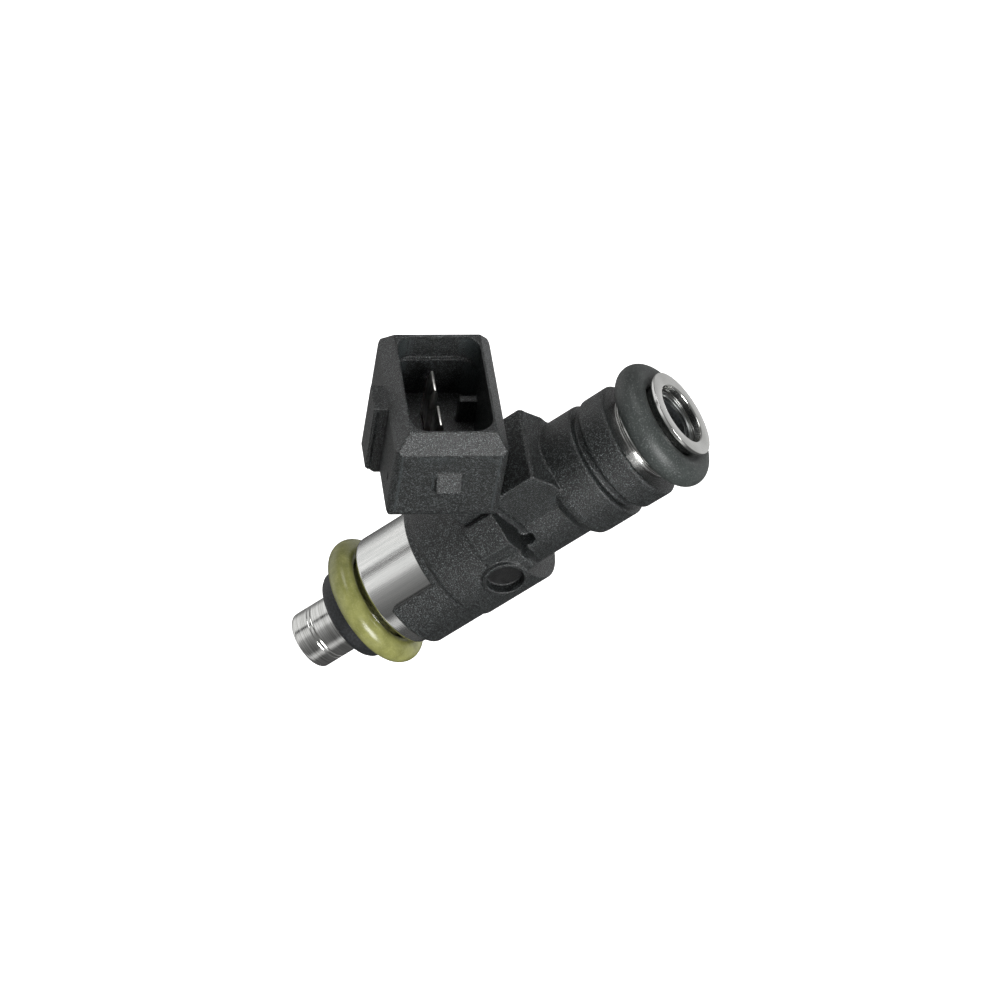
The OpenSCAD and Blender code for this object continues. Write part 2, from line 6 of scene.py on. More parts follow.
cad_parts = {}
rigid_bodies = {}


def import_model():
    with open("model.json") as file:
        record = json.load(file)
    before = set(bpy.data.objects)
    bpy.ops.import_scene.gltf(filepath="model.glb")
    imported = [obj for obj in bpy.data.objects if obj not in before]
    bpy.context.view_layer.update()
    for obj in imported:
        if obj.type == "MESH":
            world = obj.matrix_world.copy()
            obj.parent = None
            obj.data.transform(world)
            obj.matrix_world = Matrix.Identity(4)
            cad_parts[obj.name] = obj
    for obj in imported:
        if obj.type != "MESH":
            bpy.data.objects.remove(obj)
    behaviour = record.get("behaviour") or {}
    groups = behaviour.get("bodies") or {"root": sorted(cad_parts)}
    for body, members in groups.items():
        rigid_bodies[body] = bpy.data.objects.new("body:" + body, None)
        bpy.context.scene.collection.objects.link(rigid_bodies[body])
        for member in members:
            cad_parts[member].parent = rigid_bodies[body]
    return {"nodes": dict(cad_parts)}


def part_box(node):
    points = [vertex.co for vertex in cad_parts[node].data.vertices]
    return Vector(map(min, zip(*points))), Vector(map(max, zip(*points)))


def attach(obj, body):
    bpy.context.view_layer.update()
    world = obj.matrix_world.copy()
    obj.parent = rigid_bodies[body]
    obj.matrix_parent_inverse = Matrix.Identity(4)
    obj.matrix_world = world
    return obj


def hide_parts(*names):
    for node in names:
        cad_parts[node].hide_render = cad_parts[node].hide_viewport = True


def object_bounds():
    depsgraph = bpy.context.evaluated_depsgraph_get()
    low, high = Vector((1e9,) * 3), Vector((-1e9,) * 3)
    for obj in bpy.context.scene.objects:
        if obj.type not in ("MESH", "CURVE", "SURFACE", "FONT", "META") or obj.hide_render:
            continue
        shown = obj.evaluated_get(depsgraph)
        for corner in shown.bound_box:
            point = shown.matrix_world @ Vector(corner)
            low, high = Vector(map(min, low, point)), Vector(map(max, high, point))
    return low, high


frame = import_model()
cadBox = [list(corner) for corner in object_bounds()]
print("frame loaded:", len(frame["nodes"]), "nodes")


def mm(value):
    return value * 0.001


def sRgb(hexCode):
    # hex colour as seen on a screen, turned to linear light
    parts = [int(hexCode[i:i + 2], 16) / 255 for i in (1, 3, 5)]
    return tuple(p / 12.92 if p <= 0.04045 else ((p + 0.055) / 1.055) ** 2.4 for p in parts) + (1,)


def clearSelection():
    if bpy.context.object and bpy.context.object.mode != "OBJECT":
        bpy.ops.object.mode_set(mode="OBJECT")
    bpy.ops.object.select_all(action="DESELECT")


def pick(piece):
    clearSelection()
    piece.select_set(True)
    bpy.context.view_layer.objects.active = piece


def applyPlace(piece):
    pick(piece)
    bpy.ops.object.transform_apply(location=True, rotation=True, scale=True)


def addModifier(piece, kind, **settings):
    # adds one modifier and applies it straight away
    pick(piece)
    modifier = piece.modifiers.new(kind.title(), kind)
    for key, value in settings.items():
        setattr(modifier, key, value)
    bpy.ops.object.modifier_apply(modifier=modifier.name)


def roundEdges(piece, width, segments=3, angle=30):
    addModifier(piece, "BEVEL", width=mm(width), segments=segments, limit_method="ANGLE",
                angle_limit=math.radians(angle), use_clamp_overlap=True)


def smoothByAngle(piece, angle=40):
    pick(piece)
    bpy.ops.object.shade_smooth_by_angle(angle=math.radians(angle))


def handOver(piece, body, nodes, material):
    # the finished piece rides on its body and stands for its CAD nodes
    piece.data.materials.clear()
    piece.data.materials.append(material)
    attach(piece, body)
    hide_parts(*nodes)


def outwards(piece):
    pick(piece)
    bpy.ops.object.mode_set(mode="EDIT")
    bpy.ops.mesh.select_all(action="SELECT")
    bpy.ops.mesh.normals_make_consistent(inside=False)
    bpy.ops.object.mode_set(mode="OBJECT")


def roundOuterEdge(piece, level, beyond, width, segments):
    # picks the edges at one level that lie farther out than a radius, and rounds all that is picked;
    # what was picked before stays so, unless the caller clears it
    for edge in piece.data.edges:
        ends = [piece.data.vertices[v].co for v in edge.vertices]
        edge.select = all(abs(p.z - mm(level)) < mm(0.01) and p.xy.length > mm(beyond) for p in ends)
    pick(piece)
    bpy.ops.object.mode_set(mode="EDIT")
    bpy.ops.mesh.select_mode(type="EDGE")
    bpy.ops.mesh.bevel(offset=mm(width), segments=segments)
    bpy.ops.object.mode_set(mode="OBJECT")


def turnedPiece(name, outline, sides=160, edge=0.06, segments=3):
    # a lathe piece: one ring is drawn out from [radius, level] to the next, then closed
    clearSelection()
    radius, level = outline[0]
    bpy.ops.mesh.primitive_circle_add(vertices=sides, radius=mm(radius), location=(0, 0, mm(level)))
    piece = bpy.context.object
    piece.name = name
    applyPlace(piece)
    bpy.ops.object.mode_set(mode="EDIT")
    bpy.ops.mesh.select_mode(type="EDGE")
    bpy.ops.mesh.select_all(action="SELECT")
    for (r0, z0), (r1, z1) in zip(outline, outline[1:]):
        bpy.ops.mesh.extrude_edges_move(TRANSFORM_OT_translate={"value": (0, 0, mm(z1 - z0))})
        bpy.ops.transform.resize(value=(r1 / r0, r1 / r0, 1), center_override=(0, 0, mm(z1)))
    bpy.ops.mesh.select_all(action="DESELECT")
    bpy.ops.mesh.select_non_manifold(extend=False, use_wire=False, use_boundary=True,
                                     use_multi_face=False, use_non_contiguous=False, use_verts=False)
    bpy.ops.mesh.bridge_edge_loops()
    bpy.ops.object.mode_set(mode="OBJECT")
    outwards(piece)
    if edge:
        roundEdges(piece, edge, segments)
    smoothByAngle(piece)
    return piece


def meshCopy(node, name):
    # a merged copy of a CAD node, free to be worked on
    source = frame["nodes"][node]
    clearSelection()
    piece = source.copy()
    piece.data = source.data.copy()
    piece.name = name
    bpy.context.collection.objects.link(piece)
    piece.parent = None
    for key in list(piece.keys()):
        del piece[key]
    pick(piece)
    bpy.ops.object.mode_set(mode="EDIT")
    bpy.ops.mesh.select_all(action="SELECT")
    bpy.ops.mesh.remove_doubles(threshold=1e-6)
    bpy.ops.object.mode_set(mode="OBJECT")
    return piece


def low(node):
    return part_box(node)[0] * 1000


def high(node):
    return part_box(node)[1] * 1000


camera = {
    "azimuth": -44.3,      # degrees round the injector, 0 on +X
    "elevation": 22.45,
    "roll": 58.43,         # the injector lies across the view
    "distance": 541.6,     # mm
    "lens": 182.9,
    "aim": (-2.06, -1.10, 18.17),
}


def makeCamera():
    azimuth, elevation = math.radians(camera["azimuth"]), math.radians(camera["elevation"])
    back = Vector((math.cos(azimuth) * math.cos(elevation),
                   math.sin(azimuth) * math.cos(elevation), math.sin(elevation)))
    right = Vector((0, 0, 1)).cross(back).normalized()
    turn = Matrix.Rotation(math.radians(camera["roll"]), 3, back)
    right = turn @ right
    up = back.cross(right)
    clearSelection()
    bpy.ops.object.camera_add(location=Vector(camera["aim"]) * 0.001 + back * mm(camera["distance"]))
    view = bpy.context.object
    view.rotation_euler = Matrix((right, up, back)).transposed().to_euler()
    view.data.lens = camera["lens"]
    view.data.sensor_width = 36
    view.data.clip_start = 0.01
    view.data.clip_end = 20
    bpy.context.scene.camera = view


def add(tree, kind, settings=None, links=None):
    # one node, its settings, and what feeds each of its inputs; "stops" are those of a colour ramp
    made = tree.nodes.new(kind)
    for key, value in (settings or {}).items():
        if key == "stops":
            first, last = made.color_ramp.elements[0], made.color_ramp.elements[1]
            first.position, first.color = value[0]
            last.position, last.color = value[-1]
            for position, colour in value[1:-1]:
                made.color_ramp.elements.new(position).color = colour
        elif isinstance(key, int) or key in made.inputs:
            made.inputs[key].default_value = value
        else:
            setattr(made, key, value)
    for key, source in (links or {}).items():
        tree.links.new(source, made.inputs[key])
    return made


def newMaterial(name, **shader):
    # a material with its shader's fixed values, and its object coordinates ready for the patterns
    material = bpy.data.materials.new(name)
    material.use_nodes = True
    tree = material.node_tree
    surface = tree.nodes["Principled BSDF"]
    for key, value in shader.items():
        surface.inputs[key.replace("_", " ")].default_value = value
    place = add(tree, "ShaderNodeTexCoord").outputs["Object"]
    return material, tree, surface, place


def grey(value):
    return (value, value, value, 1)


nylon = {
    # the edge colour is a painted highlight along the sharp edges
    "dark": "#030404", "mid": "#0d0f0f", "fleckAndPaintedGlint": "#6a7070", "edge": "#33393a",
    "grain": 0.12,        # mm, the spark-eroded grain of the mould
    "grainHeight": 0.07,  # mm
    "paintedEdgeHighlight": 0.6,        # how far a sharp edge turns to the colour of the painted edge highlight
    "paintedDimpleShade": 1.9,           # mm, radius of the painted shade on the dimple floors
    "sink": 3.0,          # mm, the slow waviness of a thick moulding
    "seam": 0.035,        # mm, half the width of the mould's parting line
}


def glassFilledNylon():
    # glass-filled nylon from a spark-eroded mould: near-black, its grain glitters where light skims it
    material, tree, surface, place = newMaterial("glassFilledNylon", IOR=1.53)
    grain = add(tree, "ShaderNodeTexNoise",
                {"Scale": 1 / mm(nylon["grain"]), "Detail": 2, "Roughness": 0.6}, {"Vector": place})
    cells = add(tree, "ShaderNodeTexVoronoi", {"Scale": 0.9 / mm(nylon["grain"])}, {"Vector": place})
    wave = add(tree, "ShaderNodeTexNoise", {"Scale": 1 / mm(nylon["sink"]), "Detail": 2},
               {"Vector": place})
    # the pale flecks are partly the grain's own tone and partly painted glints, standing in for the glitter
    # of the grain under light
    shades = [(0.40, sRgb(nylon["dark"])), (0.54, sRgb(nylon["mid"])), (0.71, sRgb(nylon["fleckAndPaintedGlint"]))]
    colour = add(tree, "ShaderNodeValToRGB", {"stops": shades}, {"Fac": grain.outputs["Fac"]})
    # painted highlight: the sharp outer edges, found by their pointiness, are coloured paler, standing in for
    # the light line they catch
    shape = add(tree, "ShaderNodeNewGeometry")
    paintedEdgeHighlight = add(tree, "ShaderNodeMapRange",
                 {"From Min": 0.56, "From Max": 0.66, "To Min": 0, "To Max": nylon["paintedEdgeHighlight"]},
                 {"Value": shape.outputs["Pointiness"]})
    skin = add(tree, "ShaderNodeMixRGB", {"Color2": sRgb(nylon["edge"])},
               {"Fac": paintedEdgeHighlight.outputs["Result"], "Color1": colour.outputs["Color"]})
    # painted shade: within this radius of an axis across the body, the floor of each dimple is coloured
    # black, as the shade deep in the dimple
    level = high("magnet_housing").z + 0.05
    across = add(tree, "ShaderNodeMapping", {"Location": (0, 0, mm(-level)), "Scale": (0, 1, 1)},
                 {"Vector": place})
    away = add(tree, "ShaderNodeVectorMath", {"operation": "LENGTH"},
               {"Vector": across.outputs["Vector"]})
    paintedDimpleShade = add(tree, "ShaderNodeMath", {"operation": "LESS_THAN", 1: mm(nylon["paintedDimpleShade"])},
              {0: away.outputs["Value"]})
    black = add(tree, "ShaderNodeMixRGB", {"Color2": sRgb(nylon["dark"])},
                {"Fac": paintedDimpleShade.outputs["Value"], "Color1": skin.outputs["Color"]})
    tree.links.new(black.outputs["Color"], surface.inputs["Base Color"])
    rough = add(tree, "ShaderNodeMapRange",
                {"From Min": 0.3, "From Max": 0.7, "To Min": 0.55, "To Max": 0.26},
                {"Value": grain.outputs["Fac"]})
    tree.links.new(rough.outputs["Result"], surface.inputs["Roughness"])
    # the parting line stands a few hundredths proud on x = 0, where the two mould halves met
    axes = add(tree, "ShaderNodeSeparateXYZ", links={"Vector": place})
    offset = add(tree, "ShaderNodeMath", {"operation": "ABSOLUTE"}, {0: axes.outputs["X"]})
    seam = add(tree, "ShaderNodeMapRange",
               {"From Min": 0, "From Max": mm(2 * nylon["seam"]), "To Min": 1, "To Max": 0},
               {"Value": offset.outputs["Value"]})
    slow = add(tree, "ShaderNodeBump", {"Strength": 0.12, "Distance": mm(0.3)},
               {"Height": wave.outputs["Fac"]})
    line = add(tree, "ShaderNodeBump", {"Strength": 0.5, "Distance": mm(0.05)},
               {"Height": seam.outputs["Result"], "Normal": slow.outputs["Normal"]})
    pits = add(tree, "ShaderNodeBump", {"Strength": 0.4, "Distance": mm(0.06)},
               {"Height": cells.outputs["Distance"], "Normal": line.outputs["Normal"]})
    fine = add(tree, "ShaderNodeBump", {"Strength": 1.0, "Distance": mm(nylon["grainHeight"])},
               {"Height": grain.outputs["Fac"], "Normal": pits.outputs["Normal"]})
    tree.links.new(fine.outputs["Normal"], surface.inputs["Normal"])
    return material


steel = {
    "bright": "#dcdcda", "shade": "#d0d1cf", "turned": "#d8d8d6", "turnedShade": "#b4b4b1",
    "polish": 0.5,        # mm between the polishing streaks along the housing
    "feed": 0.11,         # mm between lathe marks
    "grit": 0.2,          # mm, the tumbled grain of the finished steel
}


def drawnStainless():
    # deep-drawn stainless steel, tumbled and polished: a soft mirror with a fine grain in the half light
    material, tree, surface, place = newMaterial("drawnStainless", Metallic=1.0)
    across = 1 / mm(steel["polish"])
    along = add(tree, "ShaderNodeMapping", {"Scale": (across, across, 1 / mm(9))}, {"Vector": place})
    streak = add(tree, "ShaderNodeTexNoise", {"Scale": 1, "Detail": 2, "Roughness": 0.5},
                 {"Vector": along.outputs["Vector"]})
    grit = add(tree, "ShaderNodeTexNoise", {"Scale": 1 / mm(steel["grit"]), "Detail": 2},
               {"Vector": place})
    shades = [(0.30, sRgb(steel["shade"])), (0.62, sRgb(steel["bright"]))]
    colour = add(tree, "ShaderNodeValToRGB", {"stops": shades}, {"Fac": streak.outputs["Fac"]})
    tree.links.new(colour.outputs["Color"], surface.inputs["Base Color"])
    rough = add(tree, "ShaderNodeMapRange",
                {"From Min": 0.3, "From Max": 0.7, "To Min": 0.07, "To Max": 0.15},
                {"Value": grit.outputs["Fac"]})
    tree.links.new(rough.outputs["Result"], surface.inputs["Roughness"])
    fine = add(tree, "ShaderNodeBump", {"Strength": 0.15, "Distance": mm(0.02)},
               {"Height": grit.outputs["Fac"]})
    tree.links.new(fine.outputs["Normal"], surface.inputs["Normal"])
    return material


def turnedStainless():
    # stainless steel from the lathe: fine rings round the axis that spread the light sideways
    material, tree, surface, place = newMaterial("turnedStainless", Metallic=1.0)
    turns = add(tree, "ShaderNodeMapping", {"Scale": (1 / mm(7), 1 / mm(7), 1 / mm(steel["feed"]))},
                {"Vector": place})
    marks = add(tree, "ShaderNodeTexNoise", {"Scale": 1, "Detail": 3},
                {"Vector": turns.outputs["Vector"]})
    grit = add(tree, "ShaderNodeTexNoise", {"Scale": 1 / mm(steel["grit"]), "Detail": 2},
               {"Vector": place})
    shades = [(0.35, sRgb(steel["turnedShade"])), (0.65, sRgb(steel["turned"]))]
    colour = add(tree, "ShaderNodeValToRGB", {"stops": shades}, {"Fac": marks.outputs["Fac"]})
    tree.links.new(colour.outputs["Color"], surface.inputs["Base Color"])
    rough = add(tree, "ShaderNodeMapRange",
                {"From Min": 0.3, "From Max": 0.7, "To Min": 0.12, "To Max": 0.24},
                {"Value": marks.outputs["Fac"]})
    tree.links.new(rough.outputs["Result"], surface.inputs["Roughness"])
    bump = add(tree, "ShaderNodeBump", {"Strength": 0.06, "Distance": mm(0.02)},
               {"Height": marks.outputs["Fac"]})
    fine = add(tree, "ShaderNodeBump", {"Strength": 0.15, "Distance": mm(0.02)},
               {"Height": grit.outputs["Fac"], "Normal": bump.outputs["Normal"]})
    tree.links.new(fine.outputs["Normal"], surface.inputs["Normal"])
    return material


def groundSteel(name, light, dark, roughness):
    # hard or magnetic steel, ground or turned: fine rings, a little duller than the outside
    material, tree, surface, place = newMaterial(name, Metallic=1.0, Roughness=roughness)
    turns = add(tree, "ShaderNodeMapping", {"Scale": (1 / mm(4), 1 / mm(4), 1 / mm(0.12))},
                {"Vector": place})
    marks = add(tree, "ShaderNodeTexNoise", {"Scale": 1, "Detail": 3},
                {"Vector": turns.outputs["Vector"]})
    colour = add(tree, "ShaderNodeValToRGB", {"stops": [(0.35, sRgb(dark)), (0.65, sRgb(light))]},
                 {"Fac": marks.outputs["Fac"]})
    tree.links.new(colour.outputs["Color"], surface.inputs["Base Color"])
    bump = add(tree, "ShaderNodeBump", {"Strength": 0.2, "Distance": mm(0.02)},
               {"Height": marks.outputs["Fac"]})
    tree.links.new(bump.outputs["Normal"], surface.inputs["Normal"])
    return material


def rubber(name, deep, light, roughness, dust, dustiness):
    # moulded seal rubber: a broad soft highlight, with pale filler and dust in its skin
    material, tree, surface, place = newMaterial(name, Roughness=roughness, IOR=1.5)
    cloud = add(tree, "ShaderNodeTexNoise", {"Scale": 1 / mm(1.6), "Detail": 5, "Roughness": 0.6},
                {"Vector": place})
    specks = add(tree, "ShaderNodeTexNoise", {"Scale": 1 / mm(0.16), "Detail": 2}, {"Vector": place})
    base = add(tree, "ShaderNodeValToRGB", {"stops": [(0.30, sRgb(deep)), (0.70, sRgb(light))]},
               {"Fac": cloud.outputs["Fac"]})
    mask = add(tree, "ShaderNodeMapRange",
               {"From Min": 0.54, "From Max": 0.80, "To Min": 0, "To Max": dustiness},
               {"Value": specks.outputs["Fac"]})
    colour = add(tree, "ShaderNodeMixRGB", {"Color2": sRgb(dust)},
                 {"Fac": mask.outputs["Result"], "Color1": base.outputs["Color"]})
    tree.links.new(colour.outputs["Color"], surface.inputs["Base Color"])
    bump = add(tree, "ShaderNodeBump", {"Strength": 0.25, "Distance": mm(0.03)},
               {"Height": specks.outputs["Fac"]})
    tree.links.new(bump.outputs["Normal"], surface.inputs["Normal"])
    return material


def mouldedPlastic(name, deep, light, roughness, grain):
    # plain moulding with a fine grain, a shade lighter where the grain catches light
    material, tree, surface, place = newMaterial(name, Roughness=roughness, IOR=1.5)
    noise = add(tree, "ShaderNodeTexNoise", {"Scale": 1 / mm(grain), "Detail": 3}, {"Vector": place})
    colour = add(tree, "ShaderNodeValToRGB", {"stops": [(0.35, sRgb(deep)), (0.68, sRgb(light))]},
                 {"Fac": noise.outputs["Fac"]})
    tree.links.new(colour.outputs["Color"], surface.inputs["Base Color"])
    bump = add(tree, "ShaderNodeBump", {"Strength": 0.7, "Distance": mm(0.05)},
               {"Height": noise.outputs["Fac"]})
    tree.links.new(bump.outputs["Normal"], surface.inputs["Normal"])
    return material


def tinnedBronze():
    # tin-plated bronze strip, stamped: pale warm grey with a satin skin and stamping streaks
    material, tree, surface, place = newMaterial("tinnedBronze", Metallic=1.0, Roughness=0.28)
    strip = add(tree, "ShaderNodeMapping", {"Scale": (1 / mm(0.2), 1 / mm(1.5), 1 / mm(1.5))},
                {"Vector": place})
    noise = add(tree, "ShaderNodeTexNoise", {"Scale": 1, "Detail": 3},
                {"Vector": strip.outputs["Vector"]})
    shades = [(0.35, sRgb("#c2c1bc")), (0.65, sRgb("#e6e5e1"))]
    colour = add(tree, "ShaderNodeValToRGB", {"stops": shades}, {"Fac": noise.outputs["Fac"]})
    tree.links.new(colour.outputs["Color"], surface.inputs["Base Color"])
    bump = add(tree, "ShaderNodeBump", {"Strength": 0.3, "Distance": mm(0.03)},
               {"Height": noise.outputs["Fac"]})
    tree.links.new(bump.outputs["Normal"], surface.inputs["Normal"])
    return material


def rolledBrass():
    # rolled brass strip: warm metal with faint rolling lines
    material, tree, surface, place = newMaterial("rolledBrass", Metallic=1.0, Roughness=0.3)
    strip = add(tree, "ShaderNodeMapping", {"Scale": (1 / mm(0.3), 1 / mm(0.3), 1 / mm(3))},
                {"Vector": place})
    noise = add(tree, "ShaderNodeTexNoise", {"Scale": 1, "Detail": 3},
                {"Vector": strip.outputs["Vector"]})
    shades = [(0.35, sRgb("#93783b")), (0.65, sRgb("#c8a961"))]
    colour = add(tree, "ShaderNodeValToRGB", {"stops": shades}, {"Fac": noise.outputs["Fac"]})
    tree.links.new(colour.outputs["Color"], surface.inputs["Base Color"])
    return material


def enamelledCopper():
    # layers of enamelled wire, wound at a 0.4 mm pitch: a fine ribbed coil under a glossy skin
    material, tree, surface, place = newMaterial("enamelledCopper", Metallic=0.7, Roughness=0.3,
                                                 Coat_Weight=0.6)
    wires = add(tree, "ShaderNodeTexWave",
                {"wave_type": "BANDS", "bands_direction": "Z", "Scale": 0.314 / mm(0.4)},
                {"Vector": place})
    shades = [(0.1, sRgb("#5c2a12")), (0.8, sRgb("#c46a34"))]
    colour = add(tree, "ShaderNodeValToRGB", {"stops": shades}, {"Fac": wires.outputs["Fac"]})
    tree.links.new(colour.outputs["Color"], surface.inputs["Base Color"])
    bump = add(tree, "ShaderNodeBump", {"Strength": 0.8, "Distance": mm(0.08)},
               {"Height": wires.outputs["Fac"]})
    tree.links.new(bump.outputs["Normal"], surface.inputs["Normal"])
    return material


def filterCloth():
    # woven filter cloth, drawn at a 0.2 mm pitch because the real 0.03 mm weave is too fine to see
    material, tree, surface, place = newMaterial("filterCloth", Roughness=0.7)
    checks = add(tree, "ShaderNodeTexChecker",
                 {"Scale": 1 / mm(0.2), "Color1": sRgb("#d8d7d0"), "Color2": sRgb("#8f9088")},
                 {"Vector": place})
    tree.links.new(checks.outputs["Color"], surface.inputs["Base Color"])
    bump = add(tree, "ShaderNodeBump", {"Strength": 0.5, "Distance": mm(0.03)},
               {"Height": checks.outputs["Fac"]})
    tree.links.new(bump.outputs["Normal"], surface.inputs["Normal"])
    return material


rings = {
    "around": 192,        # steps round the injector
    "section": 56,        # steps round the section
    "flash": 0.025,       # mm, how far the mould's parting line stands out
}


def sealRing(name, node, material):
    lowest, highest = low(node), high(node)
    section = (highest.z - lowest.z) / 2
    middle = highest.x - section
    level = (highest.z + lowest.z) / 2
    clearSelection()
    bpy.ops.mesh.primitive_torus_add(major_segments=rings["around"], minor_segments=rings["section"],
                                     major_radius=mm(middle), minor_radius=mm(section - rings["flash"] / 2),
                                     location=(0, 0, mm(level)))
    ring = bpy.context.object
    ring.name = name
    applyPlace(ring)
    # the outermost loop is drawn out a little, as the flash of the mould
    for vertex in ring.data.vertices:
        vertex.select = abs(vertex.co.z - mm(level)) < mm(0.01) and vertex.co.xy.length > mm(middle)
    bpy.ops.object.mode_set(mode="EDIT")
    bpy.ops.mesh.select_mode(type="VERT")
    out = (middle + section) / (middle + section - rings["flash"] / 2)
    bpy.ops.transform.resize(value=(out, out, 1), center_override=(0, 0, mm(level)))
    bpy.ops.object.mode_set(mode="OBJECT")
    smoothByAngle(ring, 60)
    handOver(ring, "injector", [node], material)


nozzleSizes = {
    "radius": 3.25,       # mm, all radii and levels below too
    "recess": 2.6,        # the recess in the spray end
    "recessFloor": -5.218,
    "bore": 2.3,
    "chamber": 3.0,
    "chamberFloor": 2.0,
    "firstGroove": 2.2,   # from the spray end
    "groovePitch": 0.45,
    "grooveWide": 0.17,
    "grooveDeep": 0.07,
    "grooveSlope": 0.04,
    "snapDeep": 0.2,      # the retainer's snap groove
    "snapWide": 0.45,
    "endRound": 0.42,
}


def nozzle(material):
    sizes = nozzleSizes
    bottom, top = low("nozzle_body").z, high("nozzle_body").z
    radius = sizes["radius"]
    seat = high("nozzle_body").x
    snap = low("seal_retainer").z
    snapTop = snap + sizes["snapWide"]
    snapFloor = radius - sizes["snapDeep"]
    shoulder = (radius + seat) / 2
    shoulderTop = high("seal_retainer").z
    floor = low("magnet_housing").z + housingSizes["floor"]
    tube = high("non_magnetic_ring").x
    outline = [(sizes["recess"], bottom), (radius, bottom)]
    for count in range(2):
        start = bottom + sizes["firstGroove"] + count * sizes["groovePitch"]
        end = start + sizes["grooveWide"]
        depth = radius - sizes["grooveDeep"]
        outline += [(radius, start), (depth, start + sizes["grooveSlope"]),
                    (depth, end - sizes["grooveSlope"]), (radius, end)]
    outline += [(radius, snap), (snapFloor, snap), (snapFloor, snapTop), (shoulder, snapTop),
                (shoulder, shoulderTop), (seat, shoulderTop), (seat, floor), (tube, floor), (tube, top),
                (sizes["chamber"], top), (sizes["chamber"], sizes["chamberFloor"]),
                (sizes["bore"], sizes["chamberFloor"]), (sizes["bore"], sizes["recessFloor"]),
                (sizes["recess"], sizes["recessFloor"])]
    piece = turnedPiece("nozzleBody", outline, edge=0)
    # the end's outer edge is rounded well, all others only broken
    pick(piece)
    bpy.ops.object.mode_set(mode="EDIT")
    bpy.ops.mesh.select_mode(type="VERT")
    bpy.ops.mesh.select_all(action="DESELECT")
    bpy.ops.object.mode_set(mode="OBJECT")
    roundOuterEdge(piece, bottom, sizes["chamber"], sizes["endRound"], 6)
    roundEdges(piece, 0.05, 2)
    smoothByAngle(piece)
    handOver(piece, "injector", ["nozzle_body"], material)


housingSizes = {
    "wall": 0.64,         # mm
    "floor": 1.0,         # mm
    "lip": 0.6,           # mm, meant for the lower outer edge
}


def housing(material):
    lowest, highest = low("magnet_housing"), high("magnet_housing")
    radius = highest.x
    inside = radius - housingSizes["wall"]
    floor = lowest.z + housingSizes["floor"]
    neck = high("nozzle_body").x
    outline = [(neck, lowest.z), (radius, lowest.z), (radius, highest.z), (inside, highest.z),
               (inside, floor), (neck, floor)]
    piece = turnedPiece("magnetHousing", outline, sides=192, edge=0)
    # known fault: nothing is cleared first, so every edge is rounded and the outer wall overlaps itself
    roundOuterEdge(piece, lowest.z, radius - 0.1, housingSizes["lip"], 8)
    roundEdges(piece, 0.06, 2)
    smoothByAngle(piece)
    handOver(piece, "injector", ["magnet_housing"], material)


retainerSizes = {
    "bore": 3.05,         # mm, radius where it snaps into the nozzle's groove
    "chamfer": 0.35,      # mm, off the radius
    "step": 0.45,         # mm, height of the chamfer and of the snap ring
}


def retainer(material):
    sizes = retainerSizes
    lowest, highest = low("seal_retainer"), high("seal_retainer")
    radius = highest.x
    shoulder = (nozzleSizes["radius"] + high("nozzle_body").x) / 2
    step = lowest.z + sizes["step"]
    outline = [(sizes["bore"], lowest.z), (radius - sizes["chamfer"], lowest.z), (radius, step),
               (radius, highest.z), (shoulder, highest.z), (shoulder, step), (sizes["bore"], step)]
    piece = turnedPiece("sealRetainer", outline, edge=0.14, segments=4)
    handOver(piece, "injector", ["seal_retainer"], material)


tubeSizes = {
    "flange": 0.45,       # mm, thickness of the inlet's flange
    "bore": 3.0,          # mm, radius round the pole piece
    "wide": 12.85,        # mm, from the lower end to where the tube widens
    "ridge": 0.85,        # mm, how far the ridge under the upper ring stands out
    "ridgeStart": -0.3,   # mm, from the moulding's end, as are the two below
    "ridgeTop": 1.05,
    "ridgeEnd": 1.2,
    "lineDeep": 0.14,     # mm, the turned line round the ridge
    "lineStart": 0.45, "lineEnd": 0.60,
    "lip": 0.1,           # mm, the broken edge of the inlet's mouth
}


def inletTube(material):
    sizes = tubeSizes
    lowest, highest = low("inlet_tube"), high("inlet_tube")
    mouth, flange = highest.z, highest.x
    under = mouth - sizes["flange"]
    seat = high("upper_seal_ring").x - (high("upper_seal_ring").z - low("upper_seal_ring").z)
    collar = high("moulded_body").z
    bore = high("filter_collar").x
    tube = high("non_magnetic_ring").x
    wide = lowest.z + sizes["wide"]
    ridge = seat + sizes["ridge"]
    line = ridge - sizes["lineDeep"]
    outline = [(sizes["bore"], lowest.z), (tube, lowest.z), (tube, wide), (seat, wide + 1),
               (seat, collar + sizes["ridgeStart"] - 0.1), (ridge, collar + sizes["ridgeStart"]),
               (ridge, collar + sizes["lineStart"] - 0.05), (line, collar + sizes["lineStart"]),
               (line, collar + sizes["lineEnd"]), (ridge, collar + sizes["lineEnd"] + 0.06),
               (ridge, collar + sizes["ridgeTop"]), (ridge - 0.12, collar + sizes["ridgeEnd"] - 0.02),
               (seat, collar + sizes["ridgeEnd"]), (seat, under), (flange, under), (flange, mouth),
               (bore + sizes["lip"], mouth), (bore, mouth - sizes["lip"] - 0.02), (bore, wide + 2),
               (sizes["bore"], wide + 1)]
    piece = turnedPiece("inletTube", outline, sides=192, edge=0.07, segments=4)
    handOver(piece, "injector", ["inlet_tube"], material)


collarSizes = {
    "chamfer": 0.15,      # mm, off both upper edges
    "innerDrop": 0.2,     # mm, how far down the inner one reaches
}


def filterCollar(material):
    lowest, highest = low("filter_collar"), high("filter_collar")
    inner = high("filter_frame").x
    chamfer = collarSizes["chamfer"]
    outline = [(inner, lowest.z), (highest.x, lowest.z), (highest.x, highest.z - chamfer),
               (highest.x - chamfer, highest.z), (inner + chamfer, highest.z),
               (inner, highest.z - collarSizes["innerDrop"])]
    piece = turnedPiece("filterCollar", outline, edge=0.06)
    handOver(piece, "injector", ["filter_collar"], material)


